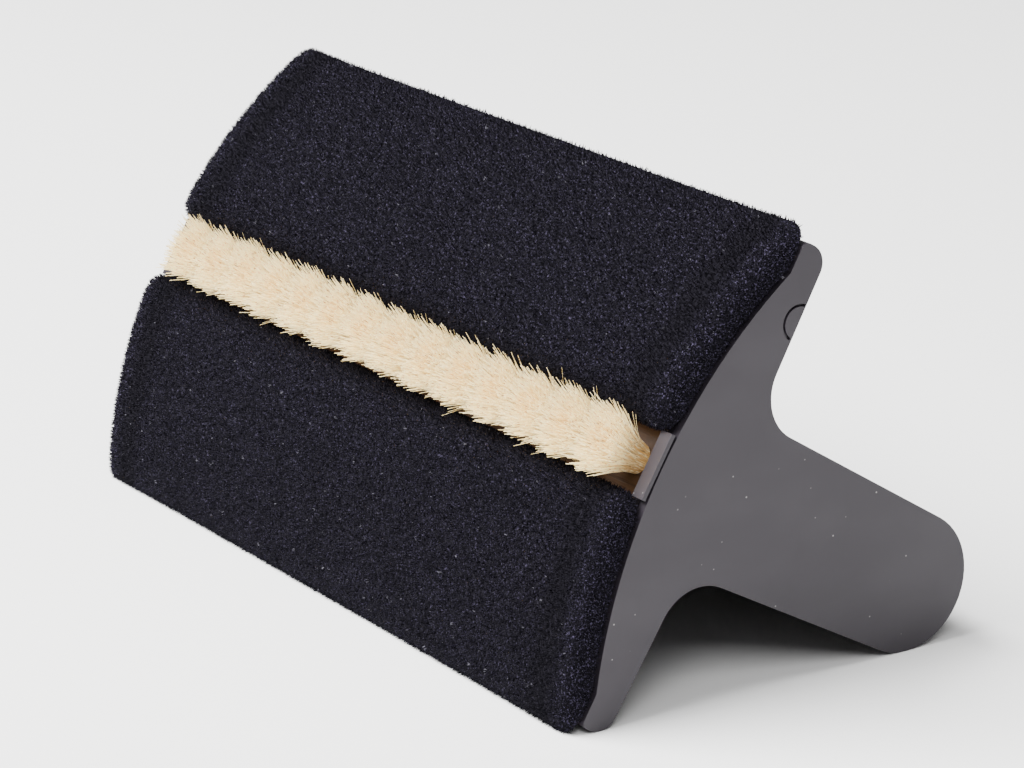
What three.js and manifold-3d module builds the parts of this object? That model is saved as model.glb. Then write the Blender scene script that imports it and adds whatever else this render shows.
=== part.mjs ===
// Clothes brush: a hollow T-section body with two velvet pads and one row of bristle tufts.
//
// The section is drawn in its own plane and extruded along X. In that plane, v runs from the bowed
// front towards the end of the handle, and u runs from the handle's centre line towards the upper wing.
// Locally Y is v and Z is u. The finished group is tilted until the brush rests on the edge of its
// lower wing and on the end of its handle, as it lies on a table. All sizes are in millimetres.

import * as THREE from 'three';
import { mergeVertices } from 'three/addons/utils/BufferGeometryUtils.js';
import Module from 'manifold-3d';

const wasm = await Module();
wasm.setup();

// Body section
const LENGTH = 140;        // end face to end face
const BOW_R = 87.5;        // radius of the bowed front
const HALF_SPAN = 38.2;    // centre line to wing tip
const STEM = 64;           // bowed front to the end of the handle
const GRIP_HALF = 12.55;   // handle's half thickness, extended to the bowed front
const GRIP_TAPER = 0.03;   // half thickness lost for each mm along the handle
const WING_BACK = 12.7;    // wing's rear face, extended to the centre line
const WING_RAKE = -0.032;  // the rear face comes forward towards the tips
const ARMPIT_R = 7.7;      // fillet between wing and handle
const TIP_R = 3.2;         // rear corner of a wing tip
const LIP_FRONT = 6.5;     // flat front of the lip at a wing tip
const LIP_R = 1.2;         // front corner of the lip
const WALL = 1.8;          // wall of the hollow body

// End caps, each a plate over the end of the body with a plug behind it
const GAP = 0.3;           // clearance between touching pieces
const CAP_PLATE = 1.6;     // thickness of the cap's plate
const PLUG_DEPTH = 6;      // how far the cap's plug reaches into the body
const PLUG_WALL = 1.3;     // wall of the plug inside the handle
const MARK = { r: 2.9, u: 27.3, v: 11.9, wide: 0.4, deep: 0.5, run: -0.12 };   // half-moon groove by the rear edge

// Bristle block in its trough
const BLOCK_LENGTH = 134.4;
const BLOCK_HALF = 5;      // half width
const BLOCK_TOP = 2.6;     // its face lies this far below the bowed front
const BLOCK_DEEP = 6;
const TROUGH_WALL = 1.5;
const STOP = { rise: 1, half: 5.15 };   // raised stop at each end of the trough, lipped over the cap

// Tufts
const TUFT_COUNT = 14;
const TUFT_PITCH = 9.2;
const ROW_SHIFT = 1.4;      // the row sits nearer to the right end
const HOLE_R = 2.3;
const HOLE_DEEP = 4.7;
const ANCHOR = { width: 3, thick: 0.35, tall: 1.8 };
const TUFT_PROFILE = [      // radius and height above the bowed front
  [0, -7], [2, -7], [2, -2.6], [2.5, -0.8], [3.3, 2.4], [3.75, 4.2], [4.2, 6], [3.3, 6.8], [0, 7.2],
];
const TUFT_SPREAD = 0.22;   // how much wider a tuft is across the row than along it, at its tip

// Pads
const PAD_LENGTH = 138.6;
const PAD_RISE = 4.2;       // pad's face above the bowed front
const PAD_INNER = 4.9;      // edge beside the bristles, from the centre line
const PAD_OUTER = 40.2;     // edge at the wing tip
const PAD_CORNER = 2;       // rounding beside the bristles
const PAD_ENDS = { inner: 4, outer: 2.5 };   // corner radii seen from the front
const VELVET = 1.2;         // velvet and its pile
const BOARD = { low: 0.3, high: 1.1, outer: 33 };
const FOAM = { low: 1.4, high: 2.7, outer: 35 };

const SEGMENTS = 12;        // half the straight segments in each arc

// ---- Solids ----------------------------------------------------------------------------------

function toSolid(geometry) {
  const bare = geometry.clone();
  bare.deleteAttribute('normal');
  bare.deleteAttribute('uv');
  const merged = mergeVertices(bare, 1e-4);
  const mesh = new wasm.Mesh({
    numProp: 3,
    vertProperties: new Float32Array(merged.attributes.position.array),
    triVerts: new Uint32Array(merged.index.array),
  });
  return new wasm.Manifold(mesh);
}

function toGeometry(solid) {
  const mesh = solid.getMesh();
  const geometry = new THREE.BufferGeometry();
  geometry.setAttribute('position', new THREE.BufferAttribute(new Float32Array(mesh.vertProperties), 3));
  geometry.setIndex(new THREE.BufferAttribute(new Uint32Array(mesh.triVerts), 1));
  const faceted = geometry.toNonIndexed();
  faceted.computeVertexNormals();
  return faceted;
}

// The section plane (v, u) becomes local (Y, Z), and the extrusion runs along X.
const SECTION_TO_BODY = new THREE.Matrix4().makeBasis(
  new THREE.Vector3(0, 1, 0), new THREE.Vector3(0, 0, 1), new THREE.Vector3(1, 0, 0));

function prism(shape, x0, x1) {
  const geometry = new THREE.ExtrudeGeometry(shape, {
    depth: x1 - x0, bevelEnabled: false, curveSegments: SEGMENTS,
  });
  geometry.translate(0, 0, x0);
  return toSolid(geometry.applyMatrix4(SECTION_TO_BODY));
}

function box(x0, x1, v0, v1, u0, u1) {
  const geometry = new THREE.BoxGeometry(x1 - x0, v1 - v0, u1 - u0);
  geometry.translate((x0 + x1) / 2, (v0 + v1) / 2, (u0 + u1) / 2);
  return toSolid(geometry);
}

// ---- T section -------------------------------------------------------------------------------

const rake = Math.atan(WING_RAKE);
const taper = Math.atan(GRIP_TAPER);

const tip = { u: HALF_SPAN - TIP_R };
tip.v = WING_BACK + WING_RAKE * tip.u - TIP_R / Math.cos(rake);

const gripEnd = {
  r: (GRIP_HALF - GRIP_TAPER * STEM) * Math.cos(taper) / (1 - GRIP_TAPER * Math.cos(taper)),
};
gripEnd.v = STEM - gripEnd.r;

function armpitCentre() {
  const p = WING_BACK + ARMPIT_R / Math.cos(rake);
  const q = GRIP_HALF + ARMPIT_R / Math.cos(taper);
  const v = (p + WING_RAKE * q) / (1 + WING_RAKE * GRIP_TAPER);
  return { v, u: q - GRIP_TAPER * v };
}

// Outline of the T, moved inwards by inset. Every arc keeps its centre.
function tee(inset) {
  const shape = new THREE.Shape();
  const bow = BOW_R - inset;
  const front = LIP_FRONT + inset;
  const swing = Math.acos((BOW_R - front) / bow);
  const armpit = armpitCentre();
  const half = Math.PI / 2;
  const corner = Math.acos(Math.max(0, front - tip.v) / (TIP_R - inset));

  shape.absarc(BOW_R, 0, bow, Math.PI + swing, Math.PI - swing, true);
  if (inset < LIP_R) {
    shape.absarc(LIP_FRONT + LIP_R, HALF_SPAN - LIP_R, LIP_R - inset, Math.PI, half, true);
  } else if (front < tip.v) {
    shape.lineTo(front, HALF_SPAN - inset);
  }
  shape.absarc(tip.v, tip.u, TIP_R - inset, corner, -rake, true);
  shape.absarc(armpit.v, armpit.u, ARMPIT_R + inset, Math.PI - rake, 3 * half - taper, false);
  shape.absarc(gripEnd.v, 0, gripEnd.r - inset, half - taper, taper - half, true);
  shape.absarc(armpit.v, -armpit.u, ARMPIT_R + inset, taper - 3 * half, rake - Math.PI, false);
  shape.absarc(tip.v, -tip.u, TIP_R - inset, rake, -corner, true);
  if (inset < LIP_R) {
    shape.absarc(LIP_FRONT + LIP_R, LIP_R - HALF_SPAN, LIP_R - inset, -half, -Math.PI, true);
  } else if (front < tip.v) {
    shape.lineTo(front, inset - HALF_SPAN);
  }
  shape.closePath();
  return shape;
}

// ---- Body ------------------------------------------------------------------------------------

const END = LENGTH / 2;
const BODY_END = END - CAP_PLATE - GAP;
const TROUGH_FLOOR = BLOCK_TOP + BLOCK_DEEP + GAP;
const TROUGH_HALF = BLOCK_HALF + GAP;

function bodyShell() {
  const trough = box(-BODY_END, BODY_END, 1, TROUGH_FLOOR + TROUGH_WALL,
    -TROUGH_HALF - TROUGH_WALL, TROUGH_HALF + TROUGH_WALL);
  const slotEnd = BLOCK_LENGTH / 2 + GAP;
  const slot = box(-slotEnd, slotEnd, -1, TROUGH_FLOOR, -TROUGH_HALF, TROUGH_HALF);
  let shell = prism(tee(0), -BODY_END, BODY_END)
    .subtract(prism(tee(WALL), -END, END))
    .add(trough)
    .subtract(slot);
  for (const side of [-1, 1]) {
    const [inner, outer] = side > 0 ? [slotEnd, END] : [-END, -slotEnd];
    const [from, to] = side > 0 ? [slotEnd, BODY_END] : [-BODY_END, -slotEnd];
    shell = shell
      .add(box(from, to, -STOP.rise, 1, -STOP.half, STOP.half))
      .add(box(inner, outer, -STOP.rise, -GAP, -STOP.half, STOP.half));
  }
  return shell;
}

// The right cap; the left one is the same moulding turned round.
function endCap() {
  const inner = END - CAP_PLATE;
  const plugTip = inner - PLUG_DEPTH;
  const plug = prism(tee(WALL + GAP), plugTip, inner + 0.1);

  const hollow = new THREE.Shape();
  const hollowStart = WING_BACK + 4;
  const hollowR = gripEnd.r - WALL - GAP - PLUG_WALL;
  hollow.moveTo(hollowStart, hollowR);
  hollow.absarc(gripEnd.v, 0, hollowR, Math.PI / 2, -Math.PI / 2, true);
  hollow.lineTo(hollowStart, -hollowR);
  hollow.closePath();

  const groove = new THREE.Shape();
  const sweep = Math.PI / 2 + MARK.run;
  groove.absarc(MARK.v, MARK.u, MARK.r, Math.PI - sweep, Math.PI + sweep, false);
  groove.absarc(MARK.v, MARK.u, MARK.r - MARK.wide, Math.PI + sweep, Math.PI - sweep, true);
  groove.closePath();

  const troughSpace = TROUGH_HALF + TROUGH_WALL + GAP;
  return prism(tee(0), inner, END)
    .add(plug)
    .subtract(prism(hollow, plugTip - 1, inner))
    .subtract(box(plugTip - 1, inner, -1, TROUGH_FLOOR + TROUGH_WALL + GAP, -troughSpace, troughSpace))
    .subtract(prism(groove, END - MARK.deep, END + 1));
}

// ---- Bristle block and tufts -----------------------------------------------------------------

const tuftPlaces = Array.from({ length: TUFT_COUNT },
  (_, i) => ROW_SHIFT + (i - (TUFT_COUNT - 1) / 2) * TUFT_PITCH);

function bristleBlock() {
  const half = BLOCK_LENGTH / 2;
  let block = box(-half, half, BLOCK_TOP, BLOCK_TOP + BLOCK_DEEP, -BLOCK_HALF, BLOCK_HALF);
  for (const x of tuftPlaces) {
    const hole = new THREE.CylinderGeometry(HOLE_R, HOLE_R, HOLE_DEEP + 1, 2 * SEGMENTS);
    hole.translate(x, BLOCK_TOP + (HOLE_DEEP - 1) / 2, 0);
    block = block.subtract(toSolid(hole));
  }
  return block;
}

// A tuft folded over its anchor: round in its hole, then fanned out above the block.
function tuft() {
  const profile = TUFT_PROFILE.map(([r, h]) => new THREE.Vector2(r, h));
  const fan = new THREE.LatheGeometry(profile, 2 * SEGMENTS);
  const position = fan.attributes.position;
  const tipHeight = TUFT_PROFILE.at(-1)[1];
  for (let i = 0; i < position.count; i += 1) {
    const rise = THREE.MathUtils.smoothstep(position.getY(i), -BLOCK_TOP, tipHeight);
    position.setZ(i, position.getZ(i) * (1 + TUFT_SPREAD * rise));
  }
  fan.rotateX(Math.PI);
  const root = -TUFT_PROFILE[0][1];
  const slotHalf = ANCHOR.thick / 2 + GAP;
  const slot = box(-slotHalf, slotHalf, root - ANCHOR.tall - GAP, root + 1, -HOLE_R, HOLE_R);
  return toSolid(fan).subtract(slot);
}

function anchor() {
  const root = -TUFT_PROFILE[0][1];
  return box(-ANCHOR.thick / 2, ANCHOR.thick / 2, root - ANCHOR.tall, root, -ANCHOR.width / 2, ANCHOR.width / 2);
}

// ---- Pads ------------------------------------------------------------------------------------

// v of a point on the arc that lies rise mm in front of the bow, at u.
function bowV(rise, u) {
  return BOW_R - Math.sqrt((BOW_R + rise) ** 2 - u ** 2);
}

// Layer between two arcs concentric with the bow. side is 1 for the upper pad and -1 for the lower.
function layer(low, high, inner, outer, side) {
  const shape = new THREE.Shape();
  const angle = (rise, u) => Math.PI - side * Math.asin(u / (BOW_R + rise));
  const turn = side > 0;
  shape.absarc(BOW_R, 0, BOW_R + low, angle(low, inner), angle(low, outer), turn);
  shape.absarc(BOW_R, 0, BOW_R + high, angle(high, outer), angle(high, inner), !turn);
  shape.closePath();
  return shape;
}

// Prism along v with the pad's outline seen from the front, moved inwards by inset.
function padPlan(inset, side) {
  const x = PAD_LENGTH / 2 - inset;
  const [low, high] = [PAD_INNER + inset, PAD_OUTER - inset];
  const [inner, outer] = [PAD_ENDS.inner - inset, PAD_ENDS.outer - Math.min(inset, PAD_ENDS.outer - 0.5)];
  const quarter = Math.PI / 2;
  const shape = new THREE.Shape();
  shape.absarc(x - inner, low + inner, inner, -quarter, 0, false);
  shape.absarc(x - outer, high - outer, outer, 0, quarter, false);
  shape.absarc(outer - x, high - outer, outer, quarter, 2 * quarter, false);
  shape.absarc(inner - x, low + inner, inner, 2 * quarter, 3 * quarter, false);
  shape.closePath();
  const reach = STEM / 2;
  const geometry = new THREE.ExtrudeGeometry(shape, { depth: 2 * reach, bevelEnabled: false, curveSegments: 5 });
  geometry.applyMatrix4(new THREE.Matrix4().makeBasis(
    new THREE.Vector3(1, 0, 0), new THREE.Vector3(0, 0, 1), new THREE.Vector3(0, -1, 0)));
  geometry.translate(0, reach, 0);
  if (side < 0) geometry.rotateY(Math.PI);
  return toSolid(geometry);
}

function velvet(side) {
  const under = LIP_FRONT - GAP;                       // clears the lip at the wing tip
  const underU = Math.sqrt((BOW_R + GAP) ** 2 - (BOW_R - under) ** 2);
  const angle = (rise, u) => Math.PI - side * Math.asin(u / (BOW_R + rise));
  const turn = side > 0;
  const noseU = PAD_OUTER - 1.2;
  const outline = new THREE.Shape();
  outline.absarc(BOW_R, 0, BOW_R + GAP, angle(GAP, PAD_INNER), angle(GAP, underU), turn);
  outline.lineTo(under, side * noseU);
  outline.quadraticCurveTo(under, side * PAD_OUTER, bowV(PAD_RISE, PAD_OUTER) + 0.6, side * PAD_OUTER);
  outline.quadraticCurveTo(bowV(PAD_RISE, PAD_OUTER) - 0.1, side * PAD_OUTER,
    bowV(PAD_RISE, noseU), side * noseU);
  outline.absarc(BOW_R, 0, BOW_R + PAD_RISE, angle(PAD_RISE, noseU),
    angle(PAD_RISE, PAD_INNER + PAD_CORNER), !turn);
  outline.quadraticCurveTo(bowV(PAD_RISE, PAD_INNER), side * PAD_INNER,
    bowV(PAD_RISE - PAD_CORNER, PAD_INNER), side * PAD_INNER);
  outline.closePath();

  const end = PAD_LENGTH / 2;
  const pocket = layer(-2, PAD_RISE - VELVET, PAD_INNER + VELVET - 0.1, PAD_OUTER - 3, side);
  return prism(outline, -end, end)
    .intersect(padPlan(0, side))
    .subtract(prism(pocket, -end, end).intersect(padPlan(VELVET, side)));
}

function padLayer(spec, side) {
  const end = PAD_LENGTH / 2;
  return prism(layer(spec.low, spec.high, PAD_INNER + VELVET + 0.2, spec.outer, side), -end, end)
    .intersect(padPlan(VELVET + GAP, side));
}

// ---- Materials -------------------------------------------------------------------------------

const satinPlastic = new THREE.MeshStandardMaterial({ color: 0x605c61, roughness: 0.5, metalness: 0 });
const wood = new THREE.MeshStandardMaterial({ color: 0x8a5a30, roughness: 0.6, metalness: 0 });
const bristle = new THREE.MeshStandardMaterial({ color: 0xe3cda6, roughness: 0.7, metalness: 0 });
const wire = new THREE.MeshStandardMaterial({ color: 0xb8a060, roughness: 0.35, metalness: 1 });
const velvetCloth = new THREE.MeshStandardMaterial({ color: 0x14121a, roughness: 0.95, metalness: 0 });
const foamRubber = new THREE.MeshStandardMaterial({ color: 0xd8d3c4, roughness: 0.95, metalness: 0 });
const boardPlastic = new THREE.MeshStandardMaterial({ color: 0x2a2a2c, roughness: 0.6, metalness: 0 });

// ---- Assembly --------------------------------------------------------------------------------

const brush = new THREE.Group();

function addPiece(name, solid, material, x = 0, parent = brush) {
  const mesh = new THREE.Mesh(toGeometry(solid), material);
  mesh.name = name;
  mesh.position.x = x;
  parent.add(mesh);
  return mesh;
}

addPiece('body_shell', bodyShell(), satinPlastic);
addPiece('end_cap_right', endCap(), satinPlastic);
addPiece('end_cap_left', endCap(), satinPlastic).rotation.y = Math.PI;

const bristleRow = new THREE.Group();
brush.add(bristleRow);
addPiece('bristle_block', bristleBlock(), wood, 0, bristleRow);
tuftPlaces.forEach((x, i) => {
  const number = String(i + 1).padStart(2, '0');
  addPiece(`tuft_${number}`, tuft(), bristle, x, bristleRow);
  addPiece(`tuft_anchor_${number}`, anchor(), wire, x, bristleRow);
});

for (const [name, side] of [['upper', 1], ['lower', -1]]) {
  const pad = new THREE.Group();
  brush.add(pad);
  addPiece(`velvet_${name}`, velvet(side), velvetCloth, 0, pad);
  addPiece(`pad_foam_${name}`, padLayer(FOAM, side), foamRubber, 0, pad);
  addPiece(`pad_board_${name}`, padLayer(BOARD, side), boardPlastic, 0, pad);
}

// The line under the lower wing tip and the handle's end becomes level: the tilt of that tangent.
const reach = gripEnd.v - tip.v;
const span = Math.hypot(tip.u, reach);
brush.rotation.x = -(Math.atan2(tip.u, reach) + Math.asin((TIP_R - gripEnd.r) / span));

// Origin: the middle of the footprint, on the table.
const group = new THREE.Group();
group.add(brush);
const extent = new THREE.Box3().setFromObject(group, true);
brush.position.set(
  -(extent.min.x + extent.max.x) / 2, -(extent.min.y + extent.max.y) / 2, -extent.min.z);

export default group;
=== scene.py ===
"""Clothes brush: the finished look of every piece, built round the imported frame.

Section directions: x runs along the brush, v from the bowed front to the end of the handle, and u from
the handle's centre line towards the upper wing. Sizes are in millimetres and become metres at the end.
"""

import math
import random

import bmesh
import bpy
from bpy.props import FloatProperty, FloatVectorProperty, IntProperty, PointerProperty
from mathutils import Matrix, Vector


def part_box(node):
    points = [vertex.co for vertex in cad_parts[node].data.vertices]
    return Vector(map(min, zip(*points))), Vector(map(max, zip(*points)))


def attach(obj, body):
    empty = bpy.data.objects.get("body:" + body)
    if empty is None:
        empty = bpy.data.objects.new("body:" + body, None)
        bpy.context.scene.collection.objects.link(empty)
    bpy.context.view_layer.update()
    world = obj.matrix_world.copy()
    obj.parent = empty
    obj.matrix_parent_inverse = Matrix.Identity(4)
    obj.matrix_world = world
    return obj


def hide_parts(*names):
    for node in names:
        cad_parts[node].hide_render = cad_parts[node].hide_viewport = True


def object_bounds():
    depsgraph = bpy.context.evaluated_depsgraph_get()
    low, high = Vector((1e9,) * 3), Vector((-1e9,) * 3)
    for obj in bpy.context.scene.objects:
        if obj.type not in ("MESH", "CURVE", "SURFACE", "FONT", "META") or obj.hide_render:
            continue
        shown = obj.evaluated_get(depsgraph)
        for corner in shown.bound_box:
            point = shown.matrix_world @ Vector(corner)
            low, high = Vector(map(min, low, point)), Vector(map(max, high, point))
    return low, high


bl_info = {
    "name": "Clothes Brush",
    "version": (1, 0, 0),
    "blender": (4, 5, 0),
    "location": "View3D > Sidebar > Clothes Brush",
    "description": "Builds a clothes brush with velvet pads and a row of bristle tufts",
    "category": "Object",
}

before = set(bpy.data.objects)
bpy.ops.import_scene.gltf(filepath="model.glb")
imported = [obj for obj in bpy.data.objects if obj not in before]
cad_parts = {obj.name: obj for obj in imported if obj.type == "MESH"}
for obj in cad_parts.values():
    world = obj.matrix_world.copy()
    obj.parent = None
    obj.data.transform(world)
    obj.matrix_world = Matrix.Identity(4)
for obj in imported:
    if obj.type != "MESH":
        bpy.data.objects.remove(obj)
CAD_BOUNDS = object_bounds()

MM = 0.001
BODY = "brush"
CAPS = {"right": "cap_right", "left": "cap_left"}
PADS = {"upper": 1, "lower": -1}
TUFTS = sorted(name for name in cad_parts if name.startswith("tuft_") and "anchor" not in name)
ANCHORS = sorted(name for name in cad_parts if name.startswith("tuft_anchor"))

# The section as the frame was cut
TILT = math.radians(30.228)
BOW_R = 87.5
LIP_FRONT = 6.5
BLOCK_MIDDLE = 5.6         # v of the bristle block's centre
BLOCK_TOP = 2.6            # v of the bristle block's face
TUFT_ROOT = 6.6            # v where the bristles fold over their anchor


def box_middle(node):
    low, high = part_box(node)
    return Vector([(a + b) / 2 for a, b in zip(low, high)])


def section_direction(x, v, u):
    """A direction in the section as a direction in the frame."""
    return Vector((x, v * math.cos(TILT) + u * math.sin(TILT), u * math.cos(TILT) - v * math.sin(TILT)))


BOW_APEX = box_middle("bristle_block") - section_direction(0, BLOCK_MIDDLE * MM, 0)
V_AXIS = section_direction(0, 1, 0)
U_AXIS = section_direction(0, 0, 1)


def place(x, v, u):
    """A point of the section, in millimetres, as a point of the frame, in metres."""
    return BOW_APEX + section_direction(x * MM, v * MM, u * MM)


def section_of(point):
    """The x, v and u of a point of the frame, in millimetres."""
    offset = (Vector(point) - BOW_APEX) / MM
    return offset.x, offset.dot(V_AXIS), offset.dot(U_AXIS)


# ---- Sizes and colours -----------------------------------------------------------------------


def length(name, description, default):
    return FloatProperty(name=name, description=description, default=default * MM, unit="LENGTH", precision=5)


def colour(name, description, default):
    return FloatVectorProperty(name=name, description=description, default=default, size=3,
                               subtype="COLOR", min=0, max=1)


class BrushSizes(bpy.types.PropertyGroup):
    edge_round: length("Edge rounding", "Rounding on the moulded edges", 0.15)
    block_round: length("Block rounding", "Rounding on the wooden block's edges", 0.15)
    bristles: IntProperty(name="Bristles", description="Bristles in each tuft", default=1000, min=20)
    bristle_thick: length("Bristle thickness", "Thickness of one bristle", 0.15)
    root_spread: length("Root spread", "Tuft radius where it leaves the block", 2.1)
    tip_along: length("Tip spread along", "Tuft half width along the row, at the tips", 4.85)
    tip_across: length("Tip spread across", "Tuft half width across the row, at the tips", 5.15)
    tip_shift: length("Tip shift", "How far the tips lean towards the upper pad", 0.5)
    tip_height: length("Tip height", "Bristle tips above the bowed front", 6.8)
    pad_rise: length("Pad rise", "Height of the pad's cloth above the bowed front", 3.85)
    pad_roll: length("Pad roll", "Radius of the cloth's rolled edges", 2.5)
    pad_corner: length("Inner corner", "Radius of the pad's corners beside the bristles", 3.6)
    pad_outer_corner: length("Outer corner", "Radius of the pad's corners at the wing tip", 3.0)
    pad_end: length("Pad end gap", "Gap from the pad's end to the end of the brush", 0.12)
    pile: length("Pile", "Length of the velvet's pile", 0.62)
    pile_density: FloatProperty(name="Pile density", description="Pile threads on each square millimetre",
                                default=11.6, min=0.1)


class BrushColours(bpy.types.PropertyGroup):
    plastic: colour("Plastic", "Moulded body and caps", (0.0195, 0.0158, 0.0213))
    wood: colour("Wood", "Bristle block", (0.060, 0.024, 0.008))
    bristle_root: colour("Bristle root", "Bristles at the block", (0.46, 0.25, 0.075))
    bristle_tip: colour("Bristle tip", "Bristles at their cut ends", (1.0, 0.82, 0.42))
    velvet: colour("Velvet", "Depth of the pile", (0.0020, 0.0016, 0.0032))
    velvet_tip: colour("Velvet tips", "Lit tips of the pile", (0.054, 0.046, 0.082))
    wire: colour("Anchor wire", "Flat wire of the anchors", (0.62, 0.46, 0.20))
    foam: colour("Foam", "Pad filling", (0.70, 0.66, 0.55))
    board: colour("Board", "Stiff strip under the foam", (0.035, 0.035, 0.038))
    floor: colour("Floor", "Table top", (0.90, 0.90, 0.895))


def sizes():
    return bpy.context.scene.brush_sizes


def colours():
    return bpy.context.scene.brush_colours


# ---- Finishes --------------------------------------------------------------------------------


class Signal:
    """A number or colour that varies over a surface. Arithmetic on it adds Math nodes."""

    def __init__(self, finish, socket):
        self.finish, self.socket = finish, socket

    def _math(self, operation, *values):
        node = self.finish.add("ShaderNodeMath", {"operation": operation}, dict(enumerate(values)))
        return node["Value"]

    def __add__(self, other):
        return self._math("ADD", self, other)

    def __radd__(self, other):
        return self._math("ADD", other, self)

    def __sub__(self, other):
        return self._math("SUBTRACT", self, other)

    def __rsub__(self, other):
        return self._math("SUBTRACT", other, self)

    def __mul__(self, other):
        return self._math("MULTIPLY", self, other)

    def __rmul__(self, other):
        return self._math("MULTIPLY", other, self)

    def __truediv__(self, other):
        return self._math("DIVIDE", self, other)

    def __pow__(self, other):
        return self._math("POWER", self, other)

    def __abs__(self):
        return self._math("ABSOLUTE", self)

    def nearest_whole(self):
        return self._math("ROUND", self)

    def held(self):
        return self.finish.add("ShaderNodeClamp", {}, {"Value": self})["Result"]

    def between(self, low, high):
        """0 below low, 1 above high, smooth in between."""
        return self.finish.add("ShaderNodeMapRange", {"interpolation_type": "SMOOTHSTEP"},
                               {"Value": self, "From Min": low, "From Max": high})["Result"]


class Outputs:
    def __init__(self, finish, node):
        self.finish, self.node = finish, node

    def __getitem__(self, name):
        return Signal(self.finish, self.node.outputs[name])


class Finish:
    """A material and the nodes it is made of."""

    def __init__(self, name):
        self.material = bpy.data.materials.new(name)
        self.material.use_nodes = True
        self.tree = self.material.node_tree
        self.tree.nodes.clear()
        self.where = self.add("ShaderNodeTexCoord", {}, {})["Object"]

    def add(self, kind, settings, values):
        node = self.tree.nodes.new(kind)
        for name, value in settings.items():
            setattr(node, name, value)
        for name, value in values.items():
            if isinstance(value, Signal):
                self.tree.links.new(value.socket, node.inputs[name])
            elif isinstance(value, (tuple, list)) and len(value) == 3 and node.inputs[name].type == "RGBA":
                node.inputs[name].default_value = (*value, 1)
            else:
                node.inputs[name].default_value = value
        return Outputs(self, node)

    def mapped(self, stretch=(1, 1, 1), turn=(0, 0, 0)):
        return self.add("ShaderNodeMapping", {}, {
            "Vector": self.where, "Scale": stretch, "Rotation": turn})["Vector"]

    def noise(self, scale, detail=2.0, roughness=0.5, vector=None):
        return self.add("ShaderNodeTexNoise", {}, {
            "Vector": vector or self.where, "Scale": scale, "Detail": detail, "Roughness": roughness})["Fac"]

    def cells(self, scale, feature="F1"):
        return self.add("ShaderNodeTexVoronoi", {"feature": feature}, {"Vector": self.where, "Scale": scale})

    def mix(self, amount, a, b, kind="MIX"):
        node = self.tree.nodes.new("ShaderNodeMix")
        node.data_type, node.blend_type = "RGBA", kind
        for socket, value in ((node.inputs[0], amount), (node.inputs[6], a), (node.inputs[7], b)):
            if isinstance(value, Signal):
                self.tree.links.new(value.socket, socket)
            elif socket.type == "RGBA":
                socket.default_value = (*value, 1)
            else:
                socket.default_value = value
        return Signal(self, node.outputs[2])

    def along(self, direction, start=(0, 0, 0)):
        """Distance in millimetres along a direction, from a point of the frame."""
        offset = self.add("ShaderNodeVectorMath", {"operation": "SUBTRACT"}, {
            0: self.where, 1: tuple(start)})["Vector"]
        dot = self.add("ShaderNodeVectorMath", {"operation": "DOT_PRODUCT"}, {
            0: offset, 1: tuple(Vector(direction) / MM)})
        return dot["Value"]

    def bump(self, height, depth_mm, strength=1.0, normal=None):
        values = {"Height": height, "Strength": strength, "Distance": depth_mm * MM}
        if normal:
            values["Normal"] = normal
        return self.add("ShaderNodeBump", {}, values)["Normal"]

    def surface(self, **values):
        """Ends the material in one Principled shader. Underscores in names stand for spaces."""
        named = {name.replace("_", " "): value for name, value in values.items()}
        shader = self.add("ShaderNodeBsdfPrincipled", {}, named)
        self.add("ShaderNodeOutputMaterial", {}, {"Surface": shader["BSDF"]})
        return self.material


def tint(shade, factor):
    return tuple(min(1.0, part * factor) for part in shade)


def satin_plastic():
    f = Finish("satin_plastic")
    base = tuple(colours().plastic)
    grain = f.noise(5200, 2, 0.6)
    orange_peel = f.noise(420, 1)
    smear = f.noise(70, 4, 0.62, f.mapped((1, 0.6, 1.3), (0.5, 0, 0))).between(0.42, 0.72)
    rubbed = f.noise(240, 3, 0.7, f.mapped((1, 1, 0.35), (0.9, 0, 0))).between(0.52, 0.75)
    speck_cells = f.cells(420)
    dust = (1 - speck_cells["Distance"].between(0.03, 0.08)) * f.noise(95, 1).between(0.52, 0.60)
    shade = f.mix(0.10 * grain + 0.05, base, tint(base, 1.25))
    shade = f.mix(0.35 * smear, shade, tint(base, 1.25))
    shade = f.mix(0.25 * rubbed, shade, tint(base, 0.78))
    shade = f.mix(dust * 0.45, shade, (0.6, 0.58, 0.56))
    normal = f.bump(orange_peel, 0.02, 0.35)
    normal = f.bump(grain, 0.012, 0.6, normal)
    return f.surface(Base_Color=shade, Roughness=(0.40 + 0.10 * grain - 0.07 * smear + 0.3 * dust).held(),
                     Specular_IOR_Level=0.35, Normal=normal)


def block_wood():
    f = Finish("block_wood")
    base = tuple(colours().wood)
    streak = f.noise(300, 5, 0.62, f.mapped((0.06, 1, 1)))
    pores = f.noise(2400, 2, 0.5, f.mapped((0.035, 1, 1))).between(0.56, 0.70)
    rings = f.add("ShaderNodeTexWave", {"bands_direction": "Z"}, {
        "Vector": f.mapped((0.05, 1, 1), (0.4, 0, 0)), "Scale": 120.0, "Distortion": 3.0, "Detail": 3.0,
        "Detail Scale": 2.0})["Fac"]
    shade = f.mix(streak.between(0.3, 0.7), tint(base, 0.62), tint(base, 1.35))
    shade = f.mix(rings * 0.28, shade, tint(base, 0.55))
    shade = f.mix(pores * 0.55, shade, tint(base, 0.30))
    return f.surface(Base_Color=shade, Roughness=(0.50 + 0.25 * streak).held(),
                     Normal=f.bump(streak - 0.6 * pores, 0.08, 0.7))


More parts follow.
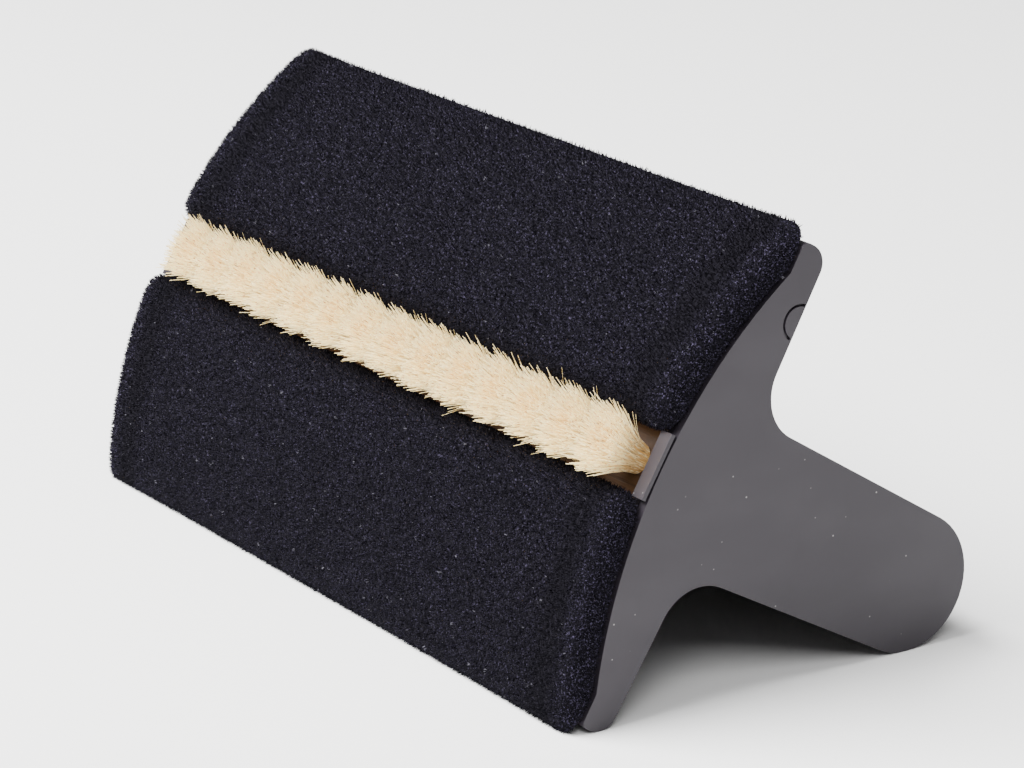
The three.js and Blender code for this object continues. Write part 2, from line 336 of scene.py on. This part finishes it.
def bristle_hair():
    f = Finish("bristle_hair")
    c = colours()
    pitch = (box_middle(TUFTS[-1]) - box_middle(TUFTS[0])).x / MM / (len(TUFTS) - 1)
    x, u, height = f.along((1, 0, 0)), f.along(U_AXIS, BOW_APEX), f.along(-V_AXIS, BOW_APEX)
    strands = f.add("ShaderNodeCombineXYZ", {}, {"X": x, "Y": u, "Z": height * 0.12})["Vector"]
    turns = f.along((1, 0, 0), box_middle(TUFTS[0])) / pitch
    off_x = (turns - turns.nearest_whole()) * pitch
    middle = 1 - (off_x ** 2 + (u - 0.5) ** 2).between(0.4, 9.0)
    grown = height.between(-BLOCK_TOP, 5.2)
    strand = f.noise(2.4, 1, 0.5, strands)
    pale = f.noise(3.1, 1, 0.5, strands)
    # painted shade: dark spots that stand for the shade between the strands
    painted_gap_shade = f.noise(3.8, 0, 0.5, strands).between(0.66, 0.74)
    shade = f.mix(grown, tuple(c.bristle_root), tuple(c.bristle_tip))
    shade = f.mix(middle * 0.6, shade, (0.95, 0.67, 0.24))
    shade = f.mix(strand.between(0.5, 0.72) * 0.5, shade, (0.62, 0.43, 0.14))
    shade = f.mix(pale.between(0.50, 0.64) * 0.6, shade, (1.0, 0.92, 0.62))
    # painted shade between the strands
    shade = f.mix(painted_gap_shade * 0.85, shade, (0.22, 0.12, 0.04))
    # the emission is painted light: a glow that brightens the bristles as light shining through them would
    return f.surface(Base_Color=shade, Roughness=(0.36 + 0.2 * pale).held(), Sheen_Weight=0.15,
                     Emission_Color=shade, Emission_Strength=0.25,
                     Normal=f.bump(strand, 0.02, 0.4))


def painted_shade_and_highlight_bands(f, shade, lit):
    """Painted shade and highlight on the velvet: a painted dark band inside each pad's rolled ends, painted
    shadow of the bristles along its inner edge, and a painted highlight on the rolls.
    """
    c = colours()
    from_middle = abs(f.along((1, 0, 0)))
    from_row = abs(f.along(U_AXIS, BOW_APEX))
    # painted shade: a dark band just inside each rolled end
    painted_roll_shade_mask = from_middle.between(57.5, 61.5) * (1 - from_middle.between(63.0, 66.5))
    # painted shadow of the bristles along the pad's inner edge
    painted_bristle_shadow_mask = 1 - from_row.between(5.5, 9.5)
    shade = f.mix(painted_roll_shade_mask * 0.85, shade, tuple(c.velvet))
    shade = f.mix(painted_bristle_shadow_mask * 0.85, shade, tuple(c.velvet))
    # painted highlight on the rolled ends, carried by the lighter specks
    return f.mix((from_middle.between(64.5, 67.5) * lit * 0.9).held(), shade, tint(c.velvet_tip, 1.25))


def velvet_cloth():
    f = Finish("velvet_cloth")
    c = colours()
    tufts = f.cells(2300)["Distance"]
    nap = f.noise(130, 3, 0.6)
    speck = f.noise(3000, 2, 0.6).between(0.54, 0.72)
    lit = (speck * (0.35 + 0.5 * nap)).held()
    # the cloth's colour gets painted shade and highlight bands
    shade = painted_shade_and_highlight_bands(f, f.mix(lit, tuple(c.velvet), tuple(c.velvet_tip)), lit)
    return f.surface(Base_Color=shade, Roughness=(0.88 + 0.12 * tufts).held(), Specular_IOR_Level=0.08,
                     Sheen_Weight=0.04, Sheen_Roughness=0.5, Sheen_Tint=(0.38, 0.34, 0.48, 1),
                     Normal=f.bump(tufts, 0.25, 0.9))


def velvet_pile():
    f = Finish("velvet_pile")
    c = colours()
    thread = f.noise(4600, 2, 0.75)
    nap = f.noise(150, 3, 0.6).between(0.3, 0.7)
    lit = (thread.between(0.54, 0.68) * (0.30 + 0.8 * nap)).held()
    # the pile's colour gets painted shade and highlight bands
    shade = painted_shade_and_highlight_bands(f, f.mix(lit, tuple(c.velvet), tuple(c.velvet_tip)), lit)
    fluff = f.noise(900, 1).between(0.735, 0.76)
    shade = f.mix(fluff * 0.5, shade, (0.30, 0.29, 0.34))
    return f.surface(Base_Color=shade, Roughness=(0.70 + 0.25 * thread).held(), Specular_IOR_Level=0.10,
                     Sheen_Weight=0.04, Sheen_Roughness=0.45, Sheen_Tint=(0.45, 0.40, 0.55, 1))


def anchor_wire():
    f = Finish("anchor_wire")
    base = tuple(colours().wire)
    drawn = f.noise(3000, 3, 0.6, f.mapped((1, 0.1, 0.1)))
    dull = f.noise(700, 3)
    shade = f.mix(dull.between(0.45, 0.7) * 0.5, base, tint(base, 0.5))
    return f.surface(Base_Color=shade, Metallic=1.0, Roughness=(0.28 + 0.25 * drawn).held(),
                     Normal=f.bump(drawn, 0.01, 0.5))


def pad_foam():
    f = Finish("pad_foam")
    base = tuple(colours().foam)
    pore_depth_and_painted_shade = f.cells(1500, "DISTANCE_TO_EDGE")["Distance"].between(0.02, 0.22)
    cloud = f.noise(120, 3)
    # painted shade: the pore hollows are darker than the cell walls between them
    shade = f.mix(pore_depth_and_painted_shade, tint(base, 1.1), tint(base, 0.42))
    shade = f.mix(cloud * 0.25, shade, tint(base, 0.7))
    return f.surface(Base_Color=shade, Roughness=(0.85 + 0.1 * cloud).held(),
                     Normal=f.bump(1 - pore_depth_and_painted_shade, 0.3, 0.9))


def pad_board():
    f = Finish("pad_board")
    base = tuple(colours().board)
    fibre = f.noise(1600, 3, 0.6, f.mapped((0.2, 1, 1)))
    shade = f.mix(fibre, tint(base, 0.7), tint(base, 1.8))
    return f.surface(Base_Color=shade, Roughness=(0.55 + 0.2 * fibre).held(),
                     Normal=f.bump(fibre, 0.03, 0.5))


def table_top():
    f = Finish("table_top")
    base = tuple(colours().floor)
    cloud = f.noise(6, 3)
    tooth = f.noise(900, 2)
    shade = f.mix(cloud * 0.4, base, tint(base, 0.985))
    return f.surface(Base_Color=shade, Roughness=(0.75 + 0.1 * tooth).held(), Specular_IOR_Level=0.2,
                     Normal=f.bump(tooth, 0.02, 0.2))


# ---- Making pieces ---------------------------------------------------------------------------


def new_piece(name, mesh_work, material, body=BODY, replaces=()):
    """Turns a bmesh into a finished piece that rides on a body of the frame."""
    mesh = bpy.data.meshes.new(name)
    mesh_work.to_mesh(mesh)
    mesh_work.free()
    return finished(bpy.data.objects.new(name, mesh), material, body, replaces)


def finished(piece, material, body=BODY, replaces=()):
    if piece.name not in bpy.context.scene.objects:
        bpy.context.collection.objects.link(piece)
    piece.data.materials.clear()
    piece.data.materials.append(material)
    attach(piece, body)
    if replaces:
        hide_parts(*replaces)
    return piece


def dress_node(node, material):
    """Gives a piece of the frame its material and leaves its shape alone."""
    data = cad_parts[node].data
    data.materials.clear()
    data.materials.append(material)


def merged_copy(node):
    """The node's shape with its loose triangles joined and its flat faces made whole."""
    work = bmesh.new()
    work.from_mesh(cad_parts[node].data)
    bmesh.ops.remove_doubles(work, verts=work.verts, dist=2e-6)
    bmesh.ops.dissolve_limit(work, angle_limit=math.radians(0.6), verts=work.verts, edges=work.edges)
    return work


def crisp_piece(name, node, material, rounding, body=BODY):
    """A moulded or sawn piece: the node's shape with every crisp edge slightly rounded."""
    work = merged_copy(node)
    piece = new_piece(name, work, material, body, (node,))
    for face in piece.data.polygons:
        face.use_smooth = True
    bevel = piece.modifiers.new("edges", "BEVEL")
    bevel.width = rounding
    bevel.segments = 3
    bevel.limit_method = "ANGLE"
    bevel.angle_limit = math.radians(32)
    bevel.miter_outer = "MITER_ARC"
    flat = piece.modifiers.new("flats", "WEIGHTED_NORMAL")
    flat.keep_sharp = True
    flat.weight = 80
    return piece


def apply_modifiers(piece):
    """Bakes the piece's modifiers into its mesh."""
    bpy.context.view_layer.update()
    graph = bpy.context.evaluated_depsgraph_get()
    mesh = bpy.data.meshes.new_from_object(piece.evaluated_get(graph), preserve_all_data_layers=False,
                                           depsgraph=graph)
    piece.modifiers.clear()
    piece.data = mesh
    return piece


# ---- Tufts -----------------------------------------------------------------------------------

STRAND_STEPS = 4
STRAY_EVERY = 9            # every ninth bristle is a thin one that strays
TIP_JITTER = 0.42          # how far a tip wanders from its place, in millimetres
TIP_DOME = 0.15            # the tips in a tuft's middle stand higher by this much
TUFT_SQUARENESS = 0.75     # neighbouring tufts press each other square


def bristle_points(luck, s, stray):
    """One bristle from its fold to its cut tip, as x, v and u in millimetres."""
    reach = math.sqrt(luck.random())
    around = luck.uniform(0, 2 * math.pi)
    root_x, root_u = (s.root_spread / MM * reach * part for part in (math.cos(around), math.sin(around)))
    squared = max(abs(math.cos(around)), abs(math.sin(around))) ** -TUFT_SQUARENESS
    spread = reach * squared * luck.uniform(0.90, 1.05)
    tip_x = s.tip_along / MM * spread * math.cos(around) + luck.gauss(0, TIP_JITTER)
    tip_u = (s.tip_across * spread * math.sin(around) + s.tip_shift) / MM + luck.gauss(0, TIP_JITTER)
    tip = s.tip_height / MM * luck.uniform(0.89, 1.02) + TIP_DOME * (1 - reach ** 2)
    if stray:
        tip_x += luck.gauss(0, 1.1)
        tip_u += luck.gauss(0, 0.75)
        tip -= luck.uniform(0.1, 1.6)
    bend = luck.uniform(1.15, 1.6)
    points = []
    for step in range(STRAND_STEPS + 1):
        t = step / STRAND_STEPS
        v = TUFT_ROOT - (TUFT_ROOT + tip) * t
        free = max(0.0, (BLOCK_TOP + 0.2 - v) / (BLOCK_TOP + tip))
        out = free ** bend
        points.append((root_x + (tip_x - root_x) * out, v, root_u + (tip_u - root_u) * out))
    return points


def bristle_tuft(name, node, middle_x, seed, material):
    s = sizes()
    luck = random.Random(seed)
    curve = bpy.data.curves.new(name, "CURVE")
    curve.dimensions = "3D"
    curve.bevel_depth = s.bristle_thick / 2
    curve.bevel_resolution = 0
    curve.use_fill_caps = True
    for number in range(s.bristles):
        strand = curve.splines.new("POLY")
        strand.points.add(STRAND_STEPS)
        stray = number % STRAY_EVERY == 0
        thick = luck.uniform(0.4, 0.6) if stray else luck.uniform(0.75, 1.1)
        for point, (x, v, u) in zip(strand.points, bristle_points(luck, s, stray)):
            point.co = (*place(middle_x + x, v, u), 1)
            point.radius = thick
        strand.points[-1].radius = thick * 0.62
    bundle = bpy.data.objects.new(name + "_strands", curve)
    bpy.context.collection.objects.link(bundle)
    bpy.context.view_layer.update()
    mesh = bpy.data.meshes.new_from_object(bundle.evaluated_get(bpy.context.evaluated_depsgraph_get()))
    bpy.data.objects.remove(bundle)
    mesh.name = name
    for face in mesh.polygons:
        face.use_smooth = True
    return finished(bpy.data.objects.new(name, mesh), material, BODY, (node,))


# ---- Pads ------------------------------------------------------------------------------------

PAD_CLEARANCE = 0.12       # cloth to the body's bowed front
LIP_CLEARANCE = 0.2        # cloth to the lip at the wing tip
PAD_INNER = 5.0            # edge beside the bristles
PAD_OUTER = 40.3           # edge at the wing tip
PAD_CUTS = {"x": 89, "arc": 23}
PAD_SIDE_ROWS = 7
UPRIGHT_ROWS = 3           # rows of the side below its roll
SMALLEST_CORNER = 0.9      # corner radius left where the roll ends
BASE_INSET = 0.06          # the side leans in by this much where it meets the body
LIP_SLOPE = 0.35           # the cloth's face lies this far in front of its base over the lip
SWELL_LIMIT = 0.35         # how far the cloth puffs out: the simulation takes every point past it
SWELL_STEPS = 20
SWELL_SLACK = 0.05         # how far the cloth may settle into its clearance
CLOTH_THICK = 0.8
HEM_X = 4.2                # cloth turned under at each end
BACK_FROM, BACK_TO = 7.4, 33.2   # distances from the row between which the back is open


def rounded(a, b, half_a, half_b, radius):
    """Moves a point of a rectangle so that the rectangle's corners become quarter circles."""
    over_a, over_b = abs(a) - (half_a - radius), abs(b) - (half_b - radius)
    if over_a <= 0 or over_b <= 0:
        return a, b
    shrink = max(over_a, over_b) / math.hypot(over_a, over_b)
    return (math.copysign(half_a - radius + over_a * shrink, a),
            math.copysign(half_b - radius + over_b * shrink, b))


def pad_form(side):
    """The pad before it swells: a bent slab with rolled edges and round corners."""
    s = sizes()
    rise, roll = s.pad_rise / MM, s.pad_roll / MM
    half_x = CAD_BOUNDS[1][0] / MM - s.pad_end / MM
    mid_r = BOW_R + rise / 2
    angles = [math.asin(edge / mid_r) for edge in (PAD_INNER, PAD_OUTER)]
    half_arc = (angles[1] - angles[0]) / 2 * mid_r
    middle = (angles[0] + angles[1]) / 2
    work = bmesh.new()
    bmesh.ops.create_cube(work, size=2)

    def split(axis, cuts):
        edges = [e for e in work.edges
                 if abs((e.verts[0].co - e.verts[1].co)[axis]) > 1e-6
                 and all(abs((e.verts[0].co - e.verts[1].co)[k]) < 1e-6 for k in range(3) if k != axis)]
        bmesh.ops.subdivide_edges(work, edges=edges, cuts=cuts, use_grid_fill=True)

    split(0, PAD_CUTS["x"])
    split(1, PAD_CUTS["arc"])
    split(2, PAD_SIDE_ROWS - 1)
    for vert in work.verts:
        a, b, c = vert.co
        level = round((c + 1) / 2 * PAD_SIDE_ROWS)
        thick = rise - PAD_CLEARANCE
        if level < UPRIGHT_ROWS:
            height = (thick - roll) * level / UPRIGHT_ROWS
            inset = BASE_INSET * (1 - level / UPRIGHT_ROWS) ** 2
        else:
            turned = (level - UPRIGHT_ROWS) / (PAD_SIDE_ROWS - UPRIGHT_ROWS) * math.pi / 2
            height = thick - roll + roll * math.sin(turned)
            inset = roll * (1 - math.cos(turned))
        corner = (s.pad_outer_corner if b > 0 else s.pad_corner) / MM
        x, arc = rounded(a * (half_x - inset), b * (half_arc - inset), half_x - inset, half_arc - inset,
                         max(corner - inset, SMALLEST_CORNER))
        radius = BOW_R + PAD_CLEARANCE + height
        angle = middle + arc / mid_r
        v = BOW_R - radius * math.cos(angle)
        v = min(v, LIP_FRONT - LIP_CLEARANCE - LIP_SLOPE * height / thick)
        vert.co = place(x, v, side * radius * math.sin(angle))
    bmesh.ops.recalc_face_normals(work, faces=work.faces)
    if work.calc_volume(signed=True) < 0:
        bmesh.ops.reverse_faces(work, faces=work.faces)
    return work


def swell(piece):
    """Puffs the cloth out by SWELL_LIMIT, in the direction that a pressure simulation moves each point.

    Left alone, the pressure moves the points about 10 mm, so the limit alone sets how far they go.
    After that no point lies behind its clearance from the bowed front, or in front of the lip's.
    """
    start = [vert.co.copy() for vert in piece.data.vertices]
    cloth = piece.modifiers.new("cloth", "CLOTH")
    cloth.settings.quality = 6
    cloth.settings.mass = 0.3
    cloth.settings.tension_stiffness = 15
    cloth.settings.compression_stiffness = 15
    cloth.settings.bending_stiffness = 0.4
    cloth.settings.use_pressure = True
    cloth.settings.uniform_pressure_force = 4
    cloth.settings.effector_weights.gravity = 0
    cloth.collision_settings.use_collision = False
    scene = bpy.context.scene
    cloth.point_cache.frame_start, cloth.point_cache.frame_end = 1, SWELL_STEPS
    for step in range(1, SWELL_STEPS + 1):
        scene.frame_set(step)
    apply_modifiers(piece)
    scene.frame_set(1)
    limit = SWELL_LIMIT * MM
    for vert, was in zip(piece.data.vertices, start):
        moved = vert.co - was
        if moved.length > limit:
            vert.co = was + moved.normalized() * limit
        x, v, u = section_of(vert.co)
        lowest = BOW_R + PAD_CLEARANCE - SWELL_SLACK
        out = math.hypot(BOW_R - v, u)
        if out < lowest:
            v, u = BOW_R - (BOW_R - v) * lowest / out, u * lowest / out
        vert.co = place(x, min(v, LIP_FRONT - LIP_CLEARANCE), u)
    return piece


def open_back(piece):
    """Cuts the cloth away where the board and the foam fill the pad from behind."""
    work = bmesh.new()
    work.from_mesh(piece.data)
    work.normal_update()
    opening = []
    end_x = CAD_BOUNDS[1][0] / MM - HEM_X
    for face in work.faces:
        x, v, u = section_of(face.calc_center_median())
        towards = Vector((0, BOW_R - v, -u)).normalized()
        facing = Vector((face.normal.x, face.normal.dot(V_AXIS), face.normal.dot(U_AXIS)))
        if facing.dot(towards) > 0.8 and abs(x) < end_x and BACK_FROM < abs(u) < BACK_TO:
            opening.append(face)
    bmesh.ops.delete(work, geom=opening, context="FACES")
    work.to_mesh(piece.data)
    work.free()


def velvet_pad(name, side, node, material):
    piece = new_piece(name, pad_form(side), material, BODY, (node,))
    swell(piece)
    for face in piece.data.polygons:
        face.use_smooth = True
    return piece


def line_pad(piece):
    """Gives the cloth its thickness, inwards, and a finer surface."""
    open_back(piece)
    fine = piece.modifiers.new("fine", "SUBSURF")
    fine.levels = fine.render_levels = 1
    pore_depth_and_painted_shade = piece.modifiers.new("pore_depth_and_painted_shade", "SOLIDIFY")
    pore_depth_and_painted_shade.thickness = CLOTH_THICK * MM
    pore_depth_and_painted_shade.offset = -1


PILE_SIDES = 3
PILE_THICK = 0.095         # radius of a thread of pile at its root
PILE_LEAN = 0.38           # most a thread leans, in radians
PILE_FACING = -0.42        # cosine of the steepest face that pile stands on


def pile_nodes():
    """Node tree that stands a thread of pile on every point of a pad's outer cloth."""
    s = sizes()
    tree = bpy.data.node_groups.new("pile", "GeometryNodeTree")
    tree.interface.new_socket("Cloth", in_out="INPUT", socket_type="NodeSocketGeometry")
    tree.interface.new_socket("Pile", in_out="OUTPUT", socket_type="NodeSocketGeometry")

    def add(kind, settings=None, values=None):
        node = tree.nodes.new(kind)
        for name, value in (settings or {}).items():
            setattr(node, name, value)
        for name, value in (values or {}).items():
            if isinstance(value, bpy.types.NodeSocket):
                tree.links.new(value, node.inputs[name])
            else:
                node.inputs[name].default_value = value
        return node

    cloth = add("NodeGroupInput").outputs["Cloth"]
    facing = add("ShaderNodeVectorMath", {"operation": "DOT_PRODUCT"}, {
        0: add("GeometryNodeInputNormal").outputs["Normal"], 1: tuple(-V_AXIS)}).outputs["Value"]
    outside = add("FunctionNodeCompare", {"operation": "GREATER_THAN"}, {
        0: facing, 1: PILE_FACING}).outputs["Result"]
    points = add("GeometryNodeDistributePointsOnFaces", {"distribute_method": "RANDOM"}, {
        "Mesh": cloth, "Selection": outside, "Density": s.pile_density / MM ** 2, "Seed": 7})
    thread = add("GeometryNodeMeshCone", {"fill_type": "NONE"}, {
        "Vertices": PILE_SIDES, "Side Segments": 1, "Radius Top": 0.0, "Radius Bottom": PILE_THICK * MM,
        "Depth": s.pile})
    lean = add("FunctionNodeRandomValue", {"data_type": "FLOAT_VECTOR"}, {
        "Min": (-PILE_LEAN, -PILE_LEAN, -3.1), "Max": (PILE_LEAN, PILE_LEAN, 3.1),
        "Seed": 3}).outputs["Value"]
    turned = add("FunctionNodeRotateRotation", {"rotation_space": "LOCAL"}, {
        "Rotation": points.outputs["Rotation"],
        "Rotate By": add("FunctionNodeEulerToRotation", {}, {"Euler": lean}).outputs["Rotation"]})
    grown = add("FunctionNodeRandomValue", {"data_type": "FLOAT"}, {2: 0.55, 3: 1.1, "Seed": 5})
    placed = add("GeometryNodeInstanceOnPoints", {}, {
        "Points": points.outputs["Points"], "Instance": thread.outputs["Mesh"],
        "Rotation": turned.outputs["Rotation"], "Scale": grown.outputs[1]})
    whole = add("GeometryNodeRealizeInstances", {}, {"Geometry": placed.outputs["Instances"]})
    add("NodeGroupOutput", {}, {"Pile": whole.outputs["Geometry"]})
    return tree


def pad_pile(name, pad, tree, material):
    """A short thread of pile for every stitch of the pad's face."""
    piece = bpy.data.objects.new(name, pad.data.copy())
    bpy.context.collection.objects.link(piece)
    piece.modifiers.new("pile", "NODES").node_group = tree
    apply_modifiers(piece)
    return finished(piece, material)


# ---- Operators -------------------------------------------------------------------------------


class BRUSH_OT_body(bpy.types.Operator):
    """Moulds the hollow body"""

    bl_idname = "brush.body"
    bl_label = "Body"

    def execute(self, context):
        crisp_piece("body_moulding", "body_shell", satin_plastic(), sizes().edge_round)
        return {"FINISHED"}


class BRUSH_OT_caps(bpy.types.Operator):
    """Moulds the two end caps"""

    bl_idname = "brush.caps"
    bl_label = "End Caps"

    def execute(self, context):
        plastic = bpy.data.materials["satin_plastic"]
        for end, body in CAPS.items():
            crisp_piece(f"{end}_end_plate", f"end_cap_{end}", plastic,
                        sizes().edge_round, body)
        return {"FINISHED"}


class BRUSH_OT_block(bpy.types.Operator):
    """Saws and drills the bristle block"""

    bl_idname = "brush.block"
    bl_label = "Bristle Block"

    def execute(self, context):
        crisp_piece("bristle_strip", "bristle_block", block_wood(), sizes().block_round)
        return {"FINISHED"}


class BRUSH_OT_tufts(bpy.types.Operator):
    """Sets the bristle tufts and their anchors"""

    bl_idname = "brush.tufts"
    bl_label = "Tufts"

    def execute(self, context):
        hair = bristle_hair()
        for seed, node in enumerate(TUFTS, 1):
            bristle_tuft(f"bristles_{seed:02d}", node, box_middle(node).x / MM, seed, hair)
        wire = anchor_wire()
        for node in ANCHORS:
            dress_node(node, wire)
        return {"FINISHED"}


class BRUSH_OT_pads(bpy.types.Operator):
    """Builds the velvet pads over their foam and boards"""

    bl_idname = "brush.pads"
    bl_label = "Velvet Pads"

    def execute(self, context):
        cloth, pile, foam, board = velvet_cloth(), velvet_pile(), pad_foam(), pad_board()
        tree = pile_nodes()
        for wing, side in PADS.items():
            pad = velvet_pad(f"velvet_pad_{wing}", side, f"velvet_{wing}", cloth)
            pad_pile(f"velvet_pile_{wing}", pad, tree, pile)
            line_pad(pad)
            dress_node(f"pad_foam_{wing}", foam)
            dress_node(f"pad_board_{wing}", board)
        return {"FINISHED"}


# Where each light stands, the point it aims at, its size in metres and its power in watts
LIGHTS = {
    "soft_key": {"at": (-0.28, -0.55, 0.95), "aim": (0, 0, 0.02), "size": (1.0, 0.9), "power": 70.0},
    "side_fill": {"at": (0.75, -0.45, 0.95), "aim": (0, 0, 0.03), "size": (0.6, 0.6), "power": 10.0},
}
SKY_STRENGTH = 0.25
TABLE_HALF = 4.0           # half the table's width, in metres
LENS, SENSOR = 137.4, 36
CAMERA_OFFSET = (423.7, -308.24, 179.33)   # from the right end of the bowed front's apex, in millimetres
CAMERA_TURN = (72.345, 0, 56.285)          # in degrees


def area_light(name, at, aim, size, power):
    light = bpy.data.lights.new(name, "AREA")
    light.shape = "RECTANGLE"
    light.size, light.size_y = size
    light.energy = power
    lamp = bpy.data.objects.new(name, light)
    bpy.context.collection.objects.link(lamp)
    towards = Vector(aim) - Vector(at)
    lamp.matrix_world = Matrix.Translation(at) @ towards.to_track_quat("-Z", "Y").to_matrix().to_4x4()


class BRUSH_OT_stage(bpy.types.Operator):
    """Sets the table top, the lights and the camera"""

    bl_idname = "brush.stage"
    bl_label = "Stage"

    def execute(self, context):
        work = bmesh.new()
        bmesh.ops.create_grid(work, x_segments=1, y_segments=1, size=TABLE_HALF)
        mesh = bpy.data.meshes.new("table")
        work.to_mesh(mesh)
        work.free()
        table = bpy.data.objects.new("table", mesh)
        table.data.materials.append(table_top())
        context.collection.objects.link(table)

        world = bpy.data.worlds.new("studio")
        world.use_nodes = True
        sky = world.node_tree.nodes["Background"]
        sky.inputs["Color"].default_value = (1.0, 0.995, 0.99, 1)
        sky.inputs["Strength"].default_value = SKY_STRENGTH
        context.scene.world = world
        for name, light in LIGHTS.items():
            area_light(name, **light)

        lens = bpy.data.cameras.new("camera")
        lens.lens, lens.sensor_width = LENS, SENSOR
        camera = bpy.data.objects.new("camera", lens)
        context.collection.objects.link(camera)
        near_apex = Vector((CAD_BOUNDS[1][0], BOW_APEX.y, BOW_APEX.z))
        camera.location = near_apex + Vector(CAMERA_OFFSET) * MM
        camera.rotation_euler = [math.radians(turn) for turn in CAMERA_TURN]
        context.scene.camera = camera
        return {"FINISHED"}


OPERATORS = (BRUSH_OT_stage, BRUSH_OT_body, BRUSH_OT_caps, BRUSH_OT_block, BRUSH_OT_tufts, BRUSH_OT_pads)


class BRUSH_PT_panel(bpy.types.Panel):
    """Sizes, colours and the steps that build the brush"""

    bl_idname = "BRUSH_PT_panel"
    bl_label = "Clothes Brush"
    bl_space_type = "VIEW_3D"
    bl_region_type = "UI"
    bl_category = "Clothes Brush"

    def draw(self, context):
        for group in (context.scene.brush_sizes, context.scene.brush_colours):
            for name in group.__annotations__:
                self.layout.prop(group, name)
        for step in OPERATORS:
            self.layout.operator(step.bl_idname)


CLASSES = (BrushSizes, BrushColours, *OPERATORS, BRUSH_PT_panel)


def register():
    for entry in CLASSES:
        bpy.utils.register_class(entry)
    bpy.types.Scene.brush_sizes = PointerProperty(type=BrushSizes)
    bpy.types.Scene.brush_colours = PointerProperty(type=BrushColours)


def unregister():
    del bpy.types.Scene.brush_colours
    del bpy.types.Scene.brush_sizes
    for entry in reversed(CLASSES):
        bpy.utils.unregister_class(entry)


def main():
    register()
    bpy.ops.brush.stage()
    bpy.ops.brush.body()
    bpy.ops.brush.caps()
    bpy.ops.brush.block()
    bpy.ops.brush.tufts()
    bpy.ops.brush.pads()


if __name__ == "__main__":
    main()
